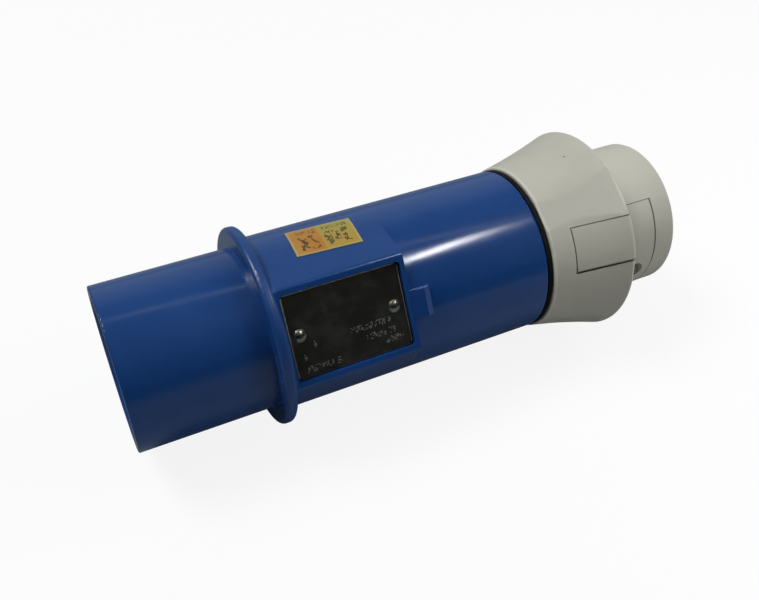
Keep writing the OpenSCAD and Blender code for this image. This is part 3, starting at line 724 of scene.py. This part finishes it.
# The room is brightest up and back, and has a pale wall behind.
ROOM_LIGHT = 0.15
ROOM_COLOUR = (0.84, 0.95, 1.0, 1)
WALL_LIGHT = 0.30
WALL_WAY = (0.33, 0.91, 0.25)

# Lamps: where each stands, what it points at, its width and height, and its power.
LAMPS = {
    "key_light": ((-0.50, 0.35, 1.15), (0.08, 0.0, 0.0), (0.6, 0.5), 11.6),
    "window_light": ((0.425, -0.285, 0.75), (0.09, 0.0, 0.02), (0.15, 0.055), 1.15),
    "tube_light": ((0.275, 0.07, 0.75), (0.08, 0.0, 0.02), (0.63, 0.02), 0.1),
    "end_light": ((0.42, -0.25, 0.20), (0.145, 0.0, 0.0), (0.25, 0.25), 0.50),
    "side_light": ((0.36, -0.05, 0.30), (0.145, 0.0, 0.0), (0.2, 0.2), 0.38),
}
MIRRORED_ONLY = ("window_light", "tube_light")
NEVER_MIRRORED = ("end_light", "side_light")

# The tube hangs level, and runs this way.
TUBE_WAY = (0.49, -0.40)

CAMERA_PLACE = (-0.00497, -0.16092, 0.15781)
CAMERA_RIGHT = (0.90060, -0.43447, 0.01206)
CAMERA_AHEAD = (0.32936, 0.66411, -0.67116)
CAMERA_LENS = 40.33
CAMERA_SENSOR = 36.0


def make_floor():
    """A wide flat floor under the lowest point of the plug."""
    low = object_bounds()[0][2]
    half = FLOOR_HALF_WIDTH
    corners = [(-half, -half, low), (half, -half, low), (half, half, low), (-half, half, low)]
    mesh = bpy.data.meshes.new("floor")
    mesh.from_pydata(corners, [], [(0, 1, 2, 3)])
    floor = bpy.data.objects.new("floor", mesh)
    bpy.context.scene.collection.objects.link(floor)
    made, tree, shader = new_material("pale_floor")
    path = add(tree, "ShaderNodeLightPath")
    seen = path.outputs["Is Camera Ray"]
    unseen = blend_colour(tree, path.outputs["Is Glossy Ray"], FLOOR_LIT, FLOOR_MIRRORED)
    tree.links.new(blend_colour(tree, seen, unseen, FLOOR_SEEN), shader.inputs["Base Color"])
    shader.inputs["Roughness"].default_value = 0.9
    white = add(tree, "ShaderNodeEmission", None, {"Color": (1, 1, 1, 1), "Strength": 1.0})
    mixed = add(tree, "ShaderNodeMixShader", None,
                {0: calc(tree, "MULTIPLY", seen, FLOOR_WHITE_SHARE),
                 1: shader.outputs[0], 2: white.outputs[0]})
    end = next(node for node in tree.nodes if node.type == "OUTPUT_MATERIAL")
    tree.links.new(mixed.outputs[0], end.inputs["Surface"])
    mesh.materials.append(made)


def make_room():
    """A world of dim room light that is plain white to the camera and through clear parts."""
    world = bpy.data.worlds.new("studio")
    bpy.context.scene.world = world
    world.use_nodes = True
    tree = world.node_tree
    back = tree.nodes["Background"]
    way = add(tree, "ShaderNodeTexCoord").outputs["Generated"]
    room = ramp(tree, along(tree, way, UP_PLATE, ON_AXIS), -0.2, 0.9, 0.0, ROOM_LIGHT)
    wall = ramp(tree, along(tree, way, WALL_WAY, ON_AXIS), 0.72, 0.97, 0.0, WALL_LIGHT)
    path = add(tree, "ShaderNodeLightPath")
    seen = calc(tree, "MAXIMUM", path.outputs["Is Camera Ray"],
                path.outputs["Is Transmission Ray"])
    tree.links.new(calc(tree, "MAXIMUM", seen, calc(tree, "ADD", room, wall)),
                   back.inputs["Strength"])
    tree.links.new(blend_colour(tree, seen, ROOM_COLOUR, (1, 1, 1, 1)), back.inputs["Color"])


def hang_lamps():
    """A soft key lamp high behind, and the smaller lamps around the plug.

    The window and the tube are only mirrored in the gloss. Two lamps near the
    cable end lift its underside and stay out of the gloss.
    """
    for name, (location, at, size, power) in LAMPS.items():
        lamp = bpy.data.lights.new(name, "AREA")
        lamp.shape = "RECTANGLE"
        lamp.size, lamp.size_y = size
        lamp.energy = power
        made = bpy.data.objects.new(name, lamp)
        bpy.context.scene.collection.objects.link(made)
        made.location = location
        ahead = Vector(at) - made.location
        made.rotation_euler = ahead.to_track_quat("-Z", "Y").to_euler()
        made.visible_diffuse = name not in MIRRORED_ONLY
        made.visible_glossy = name not in NEVER_MIRRORED
        if name == "tube_light":
            made.rotation_euler = (0.0, 0.0, math.atan2(TUBE_WAY[1], TUBE_WAY[0]))


def make_camera():
    """The camera, by its place and the directions of its right and its view."""
    right = Vector(CAMERA_RIGHT).normalized()
    ahead = Vector(CAMERA_AHEAD)
    ahead = (ahead - right * ahead.dot(right)).normalized()
    up = right.cross(ahead)
    camera = bpy.data.cameras.new("camera")
    camera.sensor_width = CAMERA_SENSOR
    camera.lens = CAMERA_LENS
    camera.clip_start = 0.01
    made = bpy.data.objects.new("camera", camera)
    bpy.context.scene.collection.objects.link(made)
    turn = Matrix((right, up, -ahead)).transposed().to_4x4()
    made.matrix_world = Matrix.Translation(CAMERA_PLACE) @ turn
    bpy.context.scene.camera = made


make_floor()
make_room()
hang_lamps()
make_camera()
bpy.context.scene.view_settings.view_transform = "Standard"
